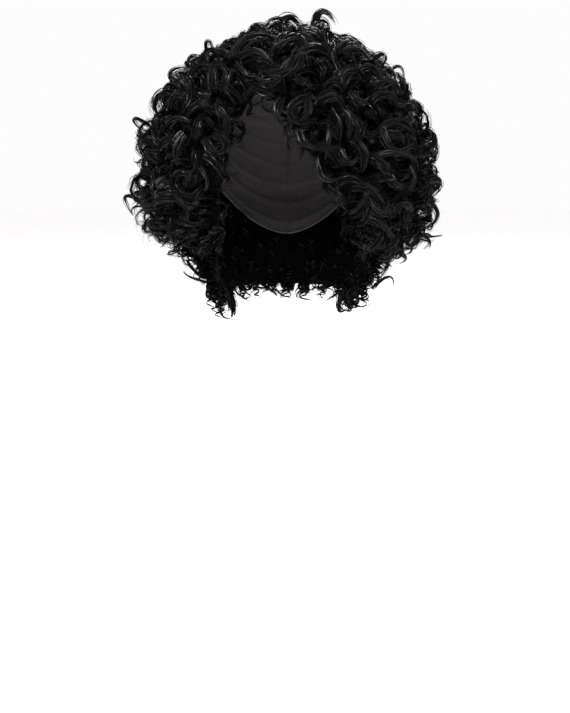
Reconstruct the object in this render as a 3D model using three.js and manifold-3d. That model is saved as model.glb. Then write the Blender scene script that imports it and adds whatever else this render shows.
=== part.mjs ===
// Short curly wig: a hollow stretch-net cap with seven sewn-on sections of curled locks.
// Millimetres, +Z up. The face opening looks along -Y, and +X is the wearer's left. The origin is the middle
// of the head at the level where a hat band sits.
//
// A place on the head is given by its azimuth (0 at the brow, 90 at the wearer's left ear, 180 at the back)
// and its polar angle (0 at the crown, 90 at the band level, more below it), both in degrees.

import * as THREE from "three";
import { mergeVertices } from "three/addons/utils/BufferGeometryUtils.js";
import Module from "manifold-3d";

const wasm = await Module();
wasm.setup();

// Driving dimensions of the head that wears it
const HEAD_HEIGHT = 88;
const DOME_POWER = 0.91;
const DROP_PER_DEGREE = 1.6;
const HEAD_SECTIONS = [
  { drop: 0, side: 76, front: 94, back: 98 },
  { drop: 30, side: 75, front: 92, back: 92 },
  { drop: 60, side: 68, front: 84, back: 76 },
  { drop: 90, side: 62, front: 76, back: 64 },
  { drop: 130, side: 59, front: 70, back: 60 },
  { drop: 175, side: 58, front: 70, back: 60 },
];

// Cap wall, and its edge: hairline, temple tab, ear cut-out and nape
const CAP_WALL = 1.5;
const HEM_EXTRA = 0.8;
const CAP_EDGE = [
  { azimuth: 0, polar: 62 },
  { azimuth: 30, polar: 66 },
  { azimuth: 55, polar: 82 },
  { azimuth: 76, polar: 103 },
  { azimuth: 96, polar: 91 },
  { azimuth: 122, polar: 108 },
  { azimuth: 150, polar: 126 },
  { azimuth: 180, polar: 134 },
];
const CAP_COLUMNS = 30;
const CAP_ROWS = 6;

// Hair: how far the curls stand off the cap, and where their mass ends over the face and the ears
const SEWN_GAP = 0.7;
const EDGE_CLEAR = 0.6;
const CAP_ROOM_DEPTH = 8;
const HAIR_DEPTH = [
  { polar: 0, front: 25, left: 25, right: 25, back: 25 },
  { polar: 30, front: 26, left: 27, right: 23, back: 34 },
  { polar: 50, front: 28, left: 35, right: 33, back: 42 },
  { polar: 70, front: 28, left: 46, right: 45, back: 46 },
  { polar: 90, front: 27, left: 58, right: 59, back: 47 },
  { polar: 110, front: 26, left: 64, right: 63, back: 45 },
  { polar: 127, front: 25, left: 66, right: 61, back: 41 },
  { polar: 140, front: 24, left: 50, right: 46, back: 36 },
  { polar: 155, front: 20, left: 35, right: 35, back: 31 },
  { polar: 170, front: 14, left: 23, right: 23, back: 24 },
  { polar: 185, front: 8, left: 11, right: 11, back: 15 },
];
const HAIR_EDGE = [
  { azimuth: -100, polar: 129 },
  { azimuth: -60, polar: 129 },
  { azimuth: -48, polar: 124 },
  { azimuth: -40, polar: 104 },
  { azimuth: -32, polar: 84 },
  { azimuth: -25, polar: 69 },
  { azimuth: -19, polar: 62 },
  { azimuth: -8, polar: 65 },
  { azimuth: 0, polar: 74 },
  { azimuth: 8, polar: 82 },
  { azimuth: 16, polar: 96 },
  { azimuth: 26, polar: 107 },
  { azimuth: 38, polar: 114 },
  { azimuth: 48, polar: 128 },
  { azimuth: 100, polar: 132 },
];
const PARTING_AZIMUTH = -19;
const HANG_ROOM = 6;
const HANG_FULL = 20;

// Sections: the stretch of the head that each covers, and how much of the depth is packed solid. One with no
// bottom ends at the hair's edge.
const SECTION_GAP = 0.4;
const SECTIONS = [
  { name: "crown_curls", from: -180, to: 180, top: 0, bottom: 38, body: 0.5, taper: 0 },
  { name: "fringe_left", from: PARTING_AZIMUTH, to: 48, top: 38, body: 0.5, taper: 0.45 },
  { name: "fringe_right", from: -50, to: PARTING_AZIMUTH, top: 38, body: 0.5, taper: 0.45 },
  { name: "side_curls_left", from: 48, to: 100, top: 38, body: 0.68, taper: 0.3 },
  { name: "side_curls_right", from: -100, to: -50, top: 38, body: 0.68, taper: 0.3 },
  { name: "back_curls", from: 100, to: 260, top: 38, bottom: 112, body: 0.65, taper: 0 },
  { name: "nape_curls", from: 100, to: 260, top: 112, bottom: 167, body: 0.7, taper: 0.3 },
];

// Rows of locks: where they are rooted and how they are wound. Droop is how far down the head a lock hangs,
// and lift the share of the depth that its tip stands off the cap.
const LOCK_ROWS = {
  crown_curls: [
    { from: 0, to: 360, polar: 3, count: 1, droop: 4, lift: 0.62, radius: 12, turns: 1 },
    { from: 20, to: 380, polar: 16, count: 5, droop: 6, lift: 0.66, radius: 12, turns: 1 },
    { from: 30, to: 70, polar: 20, count: 1, droop: 2, lift: 1.1, radius: 9, turns: 0.9 },
    { from: 0, to: 360, polar: 29, count: 7, droop: 5, lift: 0.7, radius: 12, turns: 1 },
  ],
  fringe_left: [
    { from: -19, to: 48, polar: 46, count: 3, droop: 7, lift: 0.72, radius: 12, turns: 1 },
    { from: -19, to: 48, polar: 62, count: 4, droop: 10, lift: 0.66, radius: 9, turns: 1.1 },
    { from: 2, to: 48, polar: 80, count: 3, droop: 11, lift: 0.66, radius: 10, turns: 1.1 },
    { from: 16, to: 48, polar: 99, count: 2, droop: 14, lift: 0.62, radius: 10, turns: 1.1 },
  ],
  fringe_right: [
    { from: -50, to: -19, polar: 46, count: 2, droop: 7, lift: 0.72, radius: 11, turns: 1 },
    { from: -50, to: -19, polar: 61, count: 2, droop: 10, lift: 0.66, radius: 9, turns: 1.1 },
    { from: -50, to: -34, polar: 80, count: 1, droop: 11, lift: 0.66, radius: 10, turns: 1.1 },
    { from: -50, to: -42, polar: 102, count: 1, droop: 12, lift: 0.62, radius: 10, turns: 1.1 },
  ],
  side_curls_left: [
    { from: 48, to: 100, polar: 47, count: 2, droop: 7, lift: 0.76, radius: 13, turns: 1 },
    { from: 48, to: 100, polar: 65, count: 3, droop: 7, lift: 0.8, radius: 13, turns: 1 },
    { from: 48, to: 100, polar: 83, count: 3, droop: 7, lift: 0.84, radius: 14, turns: 1 },
    { from: 48, to: 100, polar: 102, count: 3, droop: 7, lift: 0.86, radius: 14, turns: 1 },
    { from: 48, to: 100, polar: 121, count: 3, droop: 8, lift: 0.88, radius: 12, turns: 1 },
  ],
  side_curls_right: [
    { from: -100, to: -50, polar: 47, count: 2, droop: 7, lift: 0.76, radius: 13, turns: 1 },
    { from: -100, to: -50, polar: 65, count: 3, droop: 7, lift: 0.8, radius: 13, turns: 1 },
    { from: -100, to: -50, polar: 83, count: 3, droop: 7, lift: 0.84, radius: 14, turns: 1 },
    { from: -100, to: -50, polar: 102, count: 3, droop: 7, lift: 0.86, radius: 14, turns: 1 },
    { from: -100, to: -50, polar: 119, count: 3, droop: 8, lift: 0.9, radius: 12, turns: 1 },
  ],
  back_curls: [
    { from: 100, to: 260, polar: 50, count: 5, droop: 7, lift: 0.78, radius: 17, turns: 1 },
    { from: 100, to: 260, polar: 71, count: 5, droop: 7, lift: 0.8, radius: 18, turns: 1 },
    { from: 100, to: 260, polar: 93, count: 5, droop: 7, lift: 0.8, radius: 18, turns: 1 },
  ],
  nape_curls: [
    { from: 100, to: 260, polar: 123, count: 5, droop: 8, lift: 0.8, radius: 15, turns: 1 },
    { from: 100, to: 260, polar: 144, count: 5, droop: 8, lift: 0.84, radius: 11, turns: 1 },
    { from: 100, to: 260, polar: 159, count: 6, droop: 20, lift: 0.7, radius: 7, turns: 1.2 },
  ],
};

// A lock: a flat strip of hair that leaves the packed mass and winds into a curl. Its width and thickness are
// shares of the curl's radius.
const LOCK_STEPS_PER_TURN = 6.4;
const LOCK_WIDTH = 0.85;
const LOCK_THICKNESS = 0.38;
const LOCK_TIP_SHARE = 0.35;
const LOCK_SINK = 5;
const LOCK_ROOT_SPREAD = 0.75;
const LOCK_OPEN = 1.2;
const LOCK_RISE = 0.9;
const LOCK_BEND = 1.2;
const GOLDEN_TURN = 2.4;
const ROW_PHASE = 3;

// The fringe is swept away from the parting
const FRINGE_SWEEP = 14;
const SWEEP_FADE = 100;
const SWEEP_FULL_POLAR = 45;

// The packed mass under the loose curls
const BODY_CELL = 20;
const BODY_LEAST = 4;

const MERGE_DISTANCE = 1e-4;

const HAIR_BLACK = new THREE.MeshStandardMaterial({ color: 0x171415, roughness: 0.42, metalness: 0 });
const NET_BLACK = new THREE.MeshStandardMaterial({ color: 0x2b2624, roughness: 0.85, metalness: 0 });

// Smooth value of a table's column: a cubic through its rows
function smoothColumn(rows, key, column, at) {
  const last = rows.length - 1;
  const x = THREE.MathUtils.clamp(at, rows[0][key], rows[last][key]);
  let i = 0;
  while (i < last - 1 && x > rows[i + 1][key]) i++;
  const slopeAt = (j) => {
    const before = rows[Math.max(j - 1, 0)];
    const after = rows[Math.min(j + 1, last)];
    return (after[column] - before[column]) / (after[key] - before[key]);
  };
  const span = rows[i + 1][key] - rows[i][key];
  const t = (x - rows[i][key]) / span;
  const rise = rows[i + 1][column] - rows[i][column];
  const bend = slopeAt(i) * span - rise;
  const bendAfter = rise - slopeAt(i + 1) * span;
  return rows[i][column] + rise * t + t * (1 - t) * (bend * (1 - t) + bendAfter * t);
}

// Azimuth brought to the range from -180 to 180
const wrap = (azimuth) => THREE.MathUtils.euclideanModulo(azimuth + 180, 360) - 180;

// A point of the head's surface
function headPoint(azimuth, polar) {
  const a = THREE.MathUtils.degToRad(azimuth);
  const p = THREE.MathUtils.degToRad(Math.min(polar, 90));
  const drop = Math.max(polar - 90, 0) * DROP_PER_DEGREE;
  const spread = Math.sin(p) ** DOME_POWER;
  const side = smoothColumn(HEAD_SECTIONS, "drop", "side", drop) * spread;
  const end = Math.cos(a) > 0 ? "front" : "back";
  const reach = smoothColumn(HEAD_SECTIONS, "drop", end, drop) * spread;
  const z = polar < 90 ? HEAD_HEIGHT * Math.cos(p) ** DOME_POWER : -drop;
  return new THREE.Vector3(side * Math.sin(a), -reach * Math.cos(a), z);
}

// The head's outward direction there
function headNormal(azimuth, polar) {
  const step = 2;
  const p = Math.max(polar, step);
  const across = headPoint(azimuth + step, p).sub(headPoint(azimuth - step, p));
  const down = headPoint(azimuth, p + step).sub(headPoint(azimuth, p - step));
  const normal = down.cross(across).normalize();
  return polar === 0 ? new THREE.Vector3(0, 0, 1) : normal;
}

// A point a distance off the head
function offHead(azimuth, polar, distance) {
  return headPoint(azimuth, polar).addScaledVector(headNormal(azimuth, polar), distance);
}

// How far the curls stand off the cap there
function hairDepth(azimuth, polar) {
  const a = THREE.MathUtils.degToRad(azimuth);
  const sideways = Math.sin(a) ** 2;
  const side = smoothColumn(HAIR_DEPTH, "polar", Math.sin(a) > 0 ? "left" : "right", polar);
  const end = smoothColumn(HAIR_DEPTH, "polar", Math.cos(a) > 0 ? "front" : "back", polar);
  return side * sideways + end * (1 - sideways);
}

const capEdge = (azimuth) => smoothColumn(CAP_EDGE, "azimuth", "polar", Math.abs(wrap(azimuth)));
const hairEdge = (azimuth) => smoothColumn(HAIR_EDGE, "azimuth", "polar", azimuth);

// A closed solid from points and triangles. Points that coincide are merged, and triangles that vanish are
// left out.
function solidOf(points, triangles) {
  const geometry = new THREE.BufferGeometry().setFromPoints(points);
  geometry.setIndex(triangles.flat());
  const merged = mergeVertices(geometry, MERGE_DISTANCE);
  const corners = merged.index.array;
  const whole = [];
  for (let i = 0; i < corners.length; i += 3) {
    const [a, b, c] = corners.slice(i, i + 3);
    if (a !== b && b !== c && c !== a) whole.push(a, b, c);
  }
  const triVerts = new Uint32Array(whole);
  const vertProperties = merged.attributes.position.array;
  return new wasm.Manifold(new wasm.Mesh({ numProp: 3, vertProperties, triVerts }));
}

// Two triangles for a four-cornered face
const quad = (a, b, c, d) => [
  [a, b, c],
  [a, c, d],
];

// A curved wall between an outer and an inner surface, which give a point for an azimuth and a share of the
// way from the wall's top to its bottom. A wall that goes all the way round has no ends.
function curvedWall({ from, to, columns, rows, outer, inner }) {
  const points = [];
  for (const surface of [outer, inner]) {
    for (let row = 0; row <= rows; row++) {
      for (let column = 0; column <= columns; column++) {
        points.push(surface(from + ((to - from) * column) / columns, row / rows));
      }
    }
  }
  const out = (row, column) => row * (columns + 1) + column;
  const into = (row, column) => out(rows + 1 + row, column);
  const triangles = [];
  for (let c = 0; c < columns; c++) {
    for (let r = 0; r < rows; r++) {
      triangles.push(...quad(out(r, c), out(r + 1, c), out(r + 1, c + 1), out(r, c + 1)));
      triangles.push(...quad(into(r, c), into(r, c + 1), into(r + 1, c + 1), into(r + 1, c)));
    }
    triangles.push(...quad(out(0, c), out(0, c + 1), into(0, c + 1), into(0, c)));
    triangles.push(...quad(out(rows, c), into(rows, c), into(rows, c + 1), out(rows, c + 1)));
  }
  for (let r = 0; r < rows && to - from < 360; r++) {
    triangles.push(...quad(out(r, 0), into(r, 0), into(r + 1, 0), out(r + 1, 0)));
    triangles.push(...quad(out(r, columns), out(r + 1, columns), into(r + 1, columns), into(r, columns)));
  }
  return solidOf(points, triangles);
}

// A tube through rings of corners, closed at both ends. Each twisted face is split along the diagonal that
// bulges outwards.
function ringTube(rings) {
  const points = rings.flat();
  const sides = rings[0].length;
  const last = rings.length - 1;
  const at = (ring, corner) => ring * sides + (corner % sides);
  const triangles = [];
  for (let ring = 0; ring < last; ring++) {
    for (let k = 0; k < sides; k++) {
      const face = [at(ring, k), at(ring, k + 1), at(ring + 1, k + 1), at(ring + 1, k)];
      const [a, b, c, d] = face.map((index) => points[index]);
      const normal = b.clone().sub(a).cross(c.clone().sub(a));
      if (normal.dot(d.clone().sub(a)) > 0) face.push(face.shift());
      triangles.push(...quad(...face));
    }
  }
  for (let k = 1; k < sides - 1; k++) {
    triangles.push([at(0, 0), at(0, k + 1), at(0, k)], [at(last, 0), at(last, k), at(last, k + 1)]);
  }
  return solidOf(points, triangles);
}

// A wall that follows the cap to its edge, or a little beyond it, between two distances off the head
function capWall(outside, insideAt, beyond) {
  const polarAt = (azimuth, share) => (capEdge(azimuth) + beyond) * share;
  return curvedWall({
    from: -180,
    to: 180,
    columns: CAP_COLUMNS,
    rows: CAP_ROWS,
    outer: (azimuth, share) => offHead(azimuth, polarAt(azimuth, share), outside),
    inner: (azimuth, share) => offHead(azimuth, polarAt(azimuth, share), insideAt(share)),
  });
}

// The cap: a net wall whose hem is a little thicker on the inside
function makeCap() {
  const hemStart = 1 - 1 / CAP_ROWS;
  return capWall(CAP_WALL, (share) => (share > hemStart ? -HEM_EXTRA : 0), 0);
}

// The room that the cap takes, which the hair sewn to it keeps clear of
const capRoom = capWall(CAP_WALL + SEWN_GAP, () => -CAP_ROOM_DEPTH, EDGE_CLEAR);

// How far off the head the hair's inner side hangs: on the cap, and clear of the ears and neck below it
function innerDistance(azimuth, polar) {
  const below = THREE.MathUtils.smoothstep(polar - capEdge(azimuth), 0, HANG_FULL);
  return CAP_WALL / 2 + HANG_ROOM * below;
}

// How far off the head a section's packed mass reaches: it thins to its lower edge
function bodyDistance(section, azimuth, polar) {
  const { top, bottom, body, taper } = section;
  const share = (polar - top) / ((bottom ?? hairEdge(azimuth)) - top);
  const distance = CAP_WALL + hairDepth(azimuth, polar) * body * (1 - taper * share ** 4);
  return Math.max(distance, innerDistance(azimuth, polar) + BODY_LEAST);
}

// The packed mass of a section. Grown by a distance, it is the room that other sections keep clear of.
function makeBody(section, grow) {
  const { from, to, top, bottom } = section;
  const clear = THREE.MathUtils.radToDeg((SECTION_GAP - grow) / HEAD_HEIGHT);
  const round = to - from === 360;
  const topPolar = top === 0 ? 0 : top + clear;
  const bottomAt = (azimuth) => (bottom ?? hairEdge(azimuth)) - clear;
  const polarAt = (azimuth, share) => topPolar + (bottomAt(azimuth) - topPolar) * share;
  const middle = (from + to) / 2;
  return curvedWall({
    from: round ? from : from + clear,
    to: round ? to : to - clear,
    columns: Math.max(Math.round((to - from) / BODY_CELL), 3),
    rows: Math.max(Math.round((bottomAt(middle) - top) / BODY_CELL), 3),
    outer: (azimuth, share) => {
      const polar = polarAt(azimuth, share);
      return offHead(azimuth, polar, bodyDistance(section, azimuth, polar) + grow);
    },
    inner: (azimuth, share) => {
      const polar = polarAt(azimuth, share);
      return offHead(azimuth, polar, innerDistance(azimuth, polar));
    },
  });
}

// How far a lock's tip is swept round the head from its root, away from the parting
function sweepAt(azimuth, polar) {
  const fromParting = wrap(azimuth - PARTING_AZIMUTH);
  const nearness = Math.max(1 - Math.abs(fromParting) / SWEEP_FADE, 0);
  return Math.sign(fromParting) * FRINGE_SWEEP * nearness * Math.min(polar / SWEEP_FULL_POLAR, 1);
}

// Points of the curl that a lock follows, each with the direction from the curl's axis to it
function lockCurve(section, lock) {
  const { azimuth, polar, turns, radius, droop, lift, phase, hand } = lock;
  const sweep = sweepAt(azimuth, polar);
  const root = bodyDistance(section, azimuth, polar) - LOCK_SINK;
  const tip = CAP_WALL + hairDepth(azimuth + sweep, polar + droop) * lift;
  const axisAt = (t) => {
    const bend = Math.max(t, 0) ** LOCK_BEND;
    const rise = Math.sin((Math.PI / 2) * THREE.MathUtils.clamp(t / LOCK_RISE, -1, 1));
    return offHead(azimuth + sweep * bend, polar + droop * bend, root + (tip - root) * rise);
  };
  const steps = Math.round(turns * LOCK_STEPS_PER_TURN);
  const curve = [];
  for (let step = 0; step <= steps; step++) {
    const t = step / steps;
    const bend = t ** LOCK_BEND;
    const along = axisAt(t + 0.01).sub(axisAt(t - 0.01)).normalize();
    const level = headPoint(azimuth + sweep * bend + 1, polar + droop * bend + 1);
    level.sub(headPoint(azimuth + sweep * bend - 1, polar + droop * bend + 1));
    const across = level.addScaledVector(along, -level.dot(along)).normalize();
    const third = along.clone().cross(across);
    const turn = phase + hand * 2 * Math.PI * turns * t;
    const outward = across.multiplyScalar(Math.cos(turn)).addScaledVector(third, Math.sin(turn));
    const spread = radius * Math.min(LOCK_ROOT_SPREAD + t / LOCK_OPEN, 1);
    curve.push({ t, outward, centre: axisAt(t).addScaledVector(outward, spread) });
  }
  return curve;
}

// A lock as a strip with its flat side to the curl's axis, thinning to its tip. Grown by a distance, it is
// the room that other sections keep clear of.
function makeLock(section, lock, grow) {
  const curve = lockCurve(section, lock);
  const last = curve.length - 1;
  const rings = curve.map(({ t, outward, centre }, i) => {
    const before = curve[Math.max(i - 1, 0)].centre;
    const after = curve[Math.min(i + 1, last)].centre;
    const along = after.clone().sub(before).normalize();
    const thin = outward.clone().addScaledVector(along, -outward.dot(along)).normalize();
    const flat = thin.clone().cross(along);
    const size = lock.radius * (1 - (1 - LOCK_TIP_SHARE) * t ** 2);
    const end = i === 0 ? -1 : i === last ? 1 : 0;
    const corner = (a, b) =>
      centre
        .clone()
        .addScaledVector(along, 2 * grow * end)
        .addScaledVector(flat, a * ((size * LOCK_WIDTH) / 2 + 2 * grow))
        .addScaledVector(thin, b * ((size * LOCK_THICKNESS) / 2 + 2 * grow));
    return [corner(-1, -1), corner(1, -1), corner(1, 1), corner(-1, 1)];
  });
  return ringTube(rings);
}

// The locks of a section, spread evenly along its rows, every other one wound the other way
function locksOf(section) {
  return LOCK_ROWS[section.name].flatMap((row, rowIndex) =>
    Array.from({ length: row.count }, (_, i) => ({
      ...row,
      azimuth: row.from + ((row.to - row.from) * (i + 0.5)) / row.count,
      phase: GOLDEN_TURN * (i + rowIndex * ROW_PHASE),
      hand: (i + rowIndex) % 2 ? 1 : -1,
    })),
  );
}

// A section's packed mass with its locks fused to it
function makeSection(section, grow) {
  const locks = locksOf(section).map((lock) => makeLock(section, lock, grow));
  return locks.reduce((solid, lock) => solid.add(lock), makeBody(section, grow));
}

// The main body of a solid, with any pocket inside it filled and any cut-off tip left out
function mainBody(solid) {
  return solid.decompose().reduce((best, piece) => (piece.volume() > best.volume() ? piece : best));
}

// A named mesh from a solid
function meshOf(name, solid, material) {
  const { vertProperties, triVerts } = solid.getMesh();
  const geometry = new THREE.BufferGeometry();
  geometry.setAttribute("position", new THREE.BufferAttribute(new Float32Array(vertProperties), 3));
  geometry.setIndex(new THREE.BufferAttribute(new Uint32Array(triVerts), 1));
  geometry.computeVertexNormals();
  const mesh = new THREE.Mesh(geometry, material);
  mesh.name = name;
  return mesh;
}

const wig = new THREE.Group();
wig.add(meshOf("cap", makeCap(), NET_BLACK));
let taken = capRoom;
for (const section of SECTIONS) {
  const solid = mainBody(makeSection(section, 0).subtract(taken));
  wig.add(meshOf(section.name, solid, HAIR_BLACK));
  taken = taken.add(makeSection(section, SECTION_GAP));
}

export default wig;
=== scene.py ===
"""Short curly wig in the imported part's frame: curled locks of strands, a net cap and a plain studio."""

import math

import bpy
import numpy as np
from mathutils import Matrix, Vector


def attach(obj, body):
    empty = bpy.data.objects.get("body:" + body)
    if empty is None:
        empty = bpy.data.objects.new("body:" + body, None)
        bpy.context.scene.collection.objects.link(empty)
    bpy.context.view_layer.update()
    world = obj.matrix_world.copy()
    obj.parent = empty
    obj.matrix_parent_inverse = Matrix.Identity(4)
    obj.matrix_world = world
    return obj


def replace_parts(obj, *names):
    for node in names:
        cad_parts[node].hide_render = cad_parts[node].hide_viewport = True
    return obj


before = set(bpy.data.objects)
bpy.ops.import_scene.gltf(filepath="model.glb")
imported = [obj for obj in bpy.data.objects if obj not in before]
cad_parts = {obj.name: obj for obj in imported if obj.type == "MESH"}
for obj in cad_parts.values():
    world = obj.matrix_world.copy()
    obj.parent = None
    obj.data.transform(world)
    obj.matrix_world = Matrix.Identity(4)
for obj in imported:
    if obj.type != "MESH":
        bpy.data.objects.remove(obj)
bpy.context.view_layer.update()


def table(columns, **rows):
    """A table's rows by name, each with its values by column. A short row lacks the last columns."""
    return {name: dict(zip(columns, row)) for name, row in rows.items()}


# Shapes are worked out in millimetres and degrees, and made in metres
MM = 0.001
SEED = 20

# The photograph's view: its frame and focal length in pixels, and the camera's place, pitch and near limit
PHOTO_WIDTH = 570
PHOTO_HEIGHT = 713
FOCAL_PIXELS = 650
CAMERA_PLACE = (-1.9, -622, -38)
CAMERA_PITCH = 13.5
SENSOR = 36
CAMERA_NEAR = 10

# The studio, in metres and watts: pale surroundings, a wide floor, and soft square lights that face the wig
SURROUNDINGS = (0.985, 0.975, 0.98, 1)
FLOOR_RADIUS = 30
FLOOR_SIDES = 96
FLOOR_LEVEL = -0.42
LIGHTS = table(
    ("place", "size", "power"),
    key=((-0.6, -1.0, 1.2), 0.6, 145),
    fill=((0.9, -0.9, 0.6), 0.7, 50),
    back=((0.2, 1.1, 1.0), 0.8, 36),
)

# Finishes: the second colour is reached at a factor of end, and a bump is a strength and a height in metres
FINISHES = table(
    ("roughness", "specular", "first", "second", "end", "bump"),
    hair_fibre=(0.31, 0.038, (0.0004, 0.0004, 0.0006, 1), (0.003, 0.0026, 0.0025, 1), 1, (0.6, 0.0006)),
    # hair_depth is painted shade: a darker, duller copy of hair_fibre for the shaded depth behind the
    # strands
    hair_depth=(0.7, 0.01, (0.0003, 0.0003, 0.0004, 1), (0.001, 0.0009, 0.0009, 1), 1, (0.6, 0.0006)),
    cap_net=(0.8, 0.25, (0.018, 0.0165, 0.016, 1), (0.006, 0.0054, 0.0052, 1), 0.35, (0.7, 0.0008)),
    pale_floor=(0.9, 0.1, (0.975, 0.97, 0.972, 1), (0.99, 0.985, 0.987, 1), 1),
)
LINE_STRETCH = (3.2, 3.2, 0.05)
LINE_DETAIL = 2
NET_SCALE = 0.55
NET_UNEVEN = 0.35
MOTTLE_SCALE = 3

# The head that wears it. Below the band level, a degree of polar angle is a drop of so many millimetres.
HEAD_HEIGHT = 88
DOME_POWER = 0.91
DROP_PER_DEGREE = 1.6
HEAD_SECTIONS = {
    "drop": (0, 30, 60, 90, 130, 175),
    "side": (76, 75, 68, 62, 59, 58),
    "front": (94, 92, 84, 76, 70, 70),
    "back": (98, 92, 76, 64, 60, 60),
}

# The cap's wall and edge
CAP_WALL = 1.5
CAP_EDGE = {
    "azimuth": (-30, 0, 30, 55, 76, 96, 122, 150, 180, 210),
    "polar": (66, 62, 66, 82, 103, 91, 108, 126, 134, 126),
}
CAP_COLUMNS = 120
CAP_INNER_ROWS = 96
CAP_OUTER_ROWS = 20
CAP_TOP_SHARE = 0.004
WEFT_ROWS = 11
WEFT_SHARE = 0.3
WEFT_RISE = 0.7
HEM_RADIUS = 1.3
HEM_POINTS = 200
HEM_SIDES = 8
HEM_PATTERN = 2

# How far the curls stand off the cap, and where their mass ends over the face and the ears
HAIR_DEPTH = {
    "polar": (0, 30, 50, 70, 90, 110, 127, 140, 155, 170, 185),
    "front": (25, 26, 28, 28, 27, 26, 25, 24, 20, 14, 8),
    "left": (25, 27, 35, 46, 58, 64, 66, 50, 35, 23, 11),
    "right": (25, 23, 33, 45, 59, 63, 61, 46, 35, 23, 11),
    "back": (25, 34, 42, 46, 47, 45, 41, 36, 31, 24, 15),
}
HAIR_TRIM = {
    "polar": (0, 30, 60, 90, 115, 140),
    "share": (0.8, 0.82, 0.86, 0.95, 1, 1),
}
HAIR_EDGE = {
    "azimuth": (-100, -60, -48, -40, -32, -25, -19, -8, 0, 8, 16, 26, 38, 48, 100),
    "polar": (129, 129, 124, 104, 84, 69, 62, 65, 74, 82, 96, 107, 114, 128, 132),
}
PARTING_AZIMUTH = -19
HANG_ROOM = 6
HANG_FULL = 20
BODY_LEAST = 4

# Sections: the azimuths and polar angles of each (no bottom: down to the hair's edge), the share of the
# depth that is packed, and the part of it that is lost at the bottom
SECTIONS = table(
    ("from", "to", "top", "bottom", "body", "taper"),
    crown_curls=(-180, 180, 0, 38, 0.5, 0),
    fringe_left=(-19, 48, 38, None, 0.5, 0.45),
    fringe_right=(-50, -19, 38, None, 0.5, 0.45),
    side_curls_left=(48, 100, 38, None, 0.68, 0.3),
    side_curls_right=(-100, -50, 38, None, 0.68, 0.3),
    back_curls=(100, 260, 38, 112, 0.65, 0),
    nape_curls=(100, 260, 112, 167, 0.7, 0.3),
)

# The main locks, the same ones that the solids have: rows of
# (from azimuth, to azimuth, polar, count, droop, radius, turns)
LOCK_ROWS = {
    "crown_curls": (
        (0, 360, 3, 1, 4, 12, 1),
        (20, 380, 16, 5, 6, 12, 1),
        (30, 70, 20, 1, 2, 9, 0.9),
        (0, 360, 29, 7, 5, 12, 1),
    ),
    "fringe_left": (
        (-19, 48, 46, 3, 7, 12, 1),
        (-19, 48, 62, 4, 10, 9, 1.1),
        (2, 48, 80, 3, 11, 10, 1.1),
        (16, 48, 99, 2, 14, 10, 1.1),
    ),
    "fringe_right": (
        (-50, -19, 46, 2, 7, 11, 1),
        (-50, -19, 61, 2, 10, 9, 1.1),
        (-50, -34, 80, 1, 11, 10, 1.1),
        (-50, -42, 102, 1, 12, 10, 1.1),
    ),
    "side_curls_left": (
        (48, 100, 47, 2, 7, 13, 1),
        (48, 100, 65, 3, 7, 13, 1),
        (48, 100, 83, 3, 7, 14, 1),
        (48, 100, 102, 3, 7, 14, 1),
        (48, 100, 121, 3, 8, 12, 1),
    ),
    "side_curls_right": (
        (-100, -50, 47, 2, 7, 13, 1),
        (-100, -50, 65, 3, 7, 13, 1),
        (-100, -50, 83, 3, 7, 14, 1),
        (-100, -50, 102, 3, 7, 14, 1),
        (-100, -50, 119, 3, 8, 12, 1),
    ),
    "back_curls": (
        (100, 260, 50, 5, 7, 17, 1),
        (100, 260, 71, 5, 7, 18, 1),
        (100, 260, 93, 5, 7, 18, 1),
    ),
    "nape_curls": (
        (100, 260, 123, 5, 8, 15, 1),
        (100, 260, 144, 5, 8, 11, 1),
        (100, 260, 159, 6, 20, 7, 1.2),
    ),
}

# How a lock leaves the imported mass, opens and tapers, and how it is swept away from the parting
LOCK_TIP_SHARE = 0.35
LOCK_SINK = 5
LOCK_ROOT_SPREAD = 0.75
LOCK_OPEN = 1.2
LOCK_RISE = 0.9
LOCK_BEND = 1.2
LOCK_STEP = 0.01
GOLDEN_TURN = 2.4
ROW_PHASE = 3
MAIN_LIFT = 1.04
CURL_INSET = 0.8
FRINGE_SWEEP = 14
LEAST_SPREAD = 0.6
SWEEP_FADE = 100
SWEEP_FULL_POLAR = 45

# Kinds of lock: strands over the core, the core's sides, the width and thickness as shares of the curl's
# radius, and the least and most of that radius, of the turns and of the rise in a turn
KINDS = table(
    ("strands", "core", "width", "thickness", "radius", "turns", "pitch"),
    main=(20, 5, 0.7, 0.34),
    ribbon=(16, 4, 0.78, 0.3, (6, 10), (0.8, 1.3), (20, 32)),
    ringlet=(9, 4, 0.84, 0.4, (3.5, 7), (1.1, 2), (7, 13)),
    edge=(10, 4, 0.74, 0.32, (4, 7), (0.9, 1.6), (11, 19)),
    end=(4, 4, 1.25, 0.5, (2.6, 4.2), (2.2, 3.3), (5.6, 8)),
    lining=(7, 3, 1.4, 0.4, (3, 5), (1.1, 2), (14, 22)),
    stray=(9, 4),
    flyaway=(1, 0, 0.2, 0.2, (4, 10), (0.4, 1.2), (12, 40)),
)

# The smaller locks between the main ones: how far apart they are rooted, the share of ribbons among them,
# the size of their curls, and the least and most of the height that they reach
FILL = table(
    ("apart", "ribbons", "size", "lift"),
    crown_curls=(11.5, 0.7, 1.1, (0.7, 1)),
    fringe_left=(10.5, 0.45, 1, (0.7, 1.05)),
    fringe_right=(9.5, 0.45, 0.95, (0.7, 1.05)),
    side_curls_left=(11, 0.3, 1.05, (0.75, 1.05)),
    side_curls_right=(11, 0.25, 1.05, (0.75, 1.05)),
    back_curls=(12.6, 0.35, 1.1, (0.75, 1.05)),
    nape_curls=(13, 0.1, 0.95, (0.75, 1.05)),
)
FILL_SWING = 1.1
FILL_JITTER = 0.9
FILL_ROW = 0.85
FILL_TOP = 1
ROW_SAMPLES = 60
BOTTOM_SAMPLES = 30

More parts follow.
